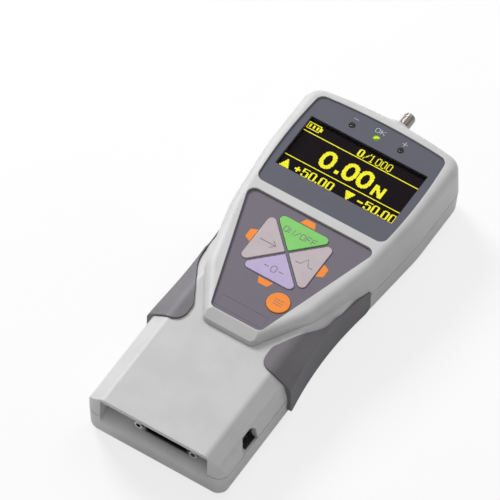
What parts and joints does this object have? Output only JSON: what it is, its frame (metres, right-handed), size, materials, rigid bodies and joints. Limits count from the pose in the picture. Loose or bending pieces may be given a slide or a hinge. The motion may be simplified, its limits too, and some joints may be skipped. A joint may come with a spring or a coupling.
{
  "type": "digital force gauge",
  "caption": "Hand-held digital force gauge with a dot display, a cross of coloured keys, rubber side grips and a threaded sensing stud at its head.",
  "frame": {"origin": "under the middle of the whole length, on the flat back", "axes": "+Z out of the display, +Y along the body towards the sensing stud, +X to the right of the reader"},
  "size_m": [0.0828, 0.216, 0.0343],
  "materials": {
    "case_grey": "fine moulded texture",
    "grip_rubber": "matte soft-touch",
    "overlay_film": "fine printed film",
    "keypad_film": "fine printed film",
    "window": "clear dark lens",
    "display_glass": "polished",
    "frame_black": "matte",
    "circuit_board": "solder mask",
    "key_green": "silicone",
    "key_purple": "silicone",
    "key_grey": "silicone",
    "key_orange": "silicone",
    "lamp_lens": "clear lens",
    "screw_steel": "plated",
    "stud_steel": "turned",
    "cell_aluminium": "machined",
    "gauge_foil": "polyimide film",
    "insert_brass": "knurled",
    "socket_black": "matte",
    "cell_sleeve": "shrink sleeve",
    "dome_steel": "stamped"
  },
  "bodies": {
    "gauge": {"front_case": "case_grey", "rear_case": "case_grey", "grip_left": "grip_rubber", "grip_right": "grip_rubber", "display_overlay": "overlay_film", "display_window": "window", "display_frame": "frame_black", "display_glass": "display_glass", "display_board": "circuit_board", "display_board_screws": "screw_steel", "led_low": "lamp_lens", "led_ok": "lamp_lens", "led_high": "lamp_lens", "key_panel": "keypad_film", "keypad_board": "circuit_board", "keypad_board_screws": "screw_steel", "key_domes": "dome_steel", "main_board": "circuit_board", "main_board_screws": "screw_steel", "io_connector": "socket_black", "io_jackscrews": "screw_steel", "dc_jack": "socket_black", "battery_pack": "cell_sleeve", "load_cell": "cell_aluminium", "strain_gauges": "gauge_foil", "cell_bracket": "cell_aluminium", "cell_bolt": "screw_steel", "bracket_screws": "screw_steel", "case_screws": "screw_steel", "mounting_inserts": "insert_brass"},
    "key_power": {"key_power": "key_green"},
    "key_send": {"key_send": "key_grey"},
    "key_zero": {"key_zero": "key_purple"},
    "key_peak": {"key_peak": "key_grey"},
    "key_menu": {"key_menu": "key_orange"},
    "shaft": {"sensing_shaft": "stud_steel", "lock_nut": "screw_steel"}
  },
  "joints": [
    {"name": "key_power_press", "type": "slide", "parent": "gauge", "child": "key_power", "axis": [0, 0, -1], "range_m": [0, 0.0004], "stiffness_N_per_m": 2500, "springref_m": -0.0003},
    {"name": "key_send_press", "type": "slide", "parent": "gauge", "child": "key_send", "axis": [0, 0, -1], "range_m": [0, 0.0004], "stiffness_N_per_m": 2500, "springref_m": -0.0003},
    {"name": "key_zero_press", "type": "slide", "parent": "gauge", "child": "key_zero", "axis": [0, 0, -1], "range_m": [0, 0.0004], "stiffness_N_per_m": 2500, "springref_m": -0.0003},
    {"name": "key_peak_press", "type": "slide", "parent": "gauge", "child": "key_peak", "axis": [0, 0, -1], "range_m": [0, 0.0004], "stiffness_N_per_m": 2500, "springref_m": -0.0003},
    {"name": "key_menu_press", "type": "slide", "parent": "gauge", "child": "key_menu", "axis": [0, 0, -1], "range_m": [0, 0.0004], "stiffness_N_per_m": 2500, "springref_m": -0.0003},
    {"name": "shaft_deflection", "type": "slide", "parent": "gauge", "child": "shaft", "axis": [0, 1, 0], "range_m": [-0.0003, 0.0003], "stiffness_N_per_m": 160000, "deforming": ["load_cell"]}
  ]
}
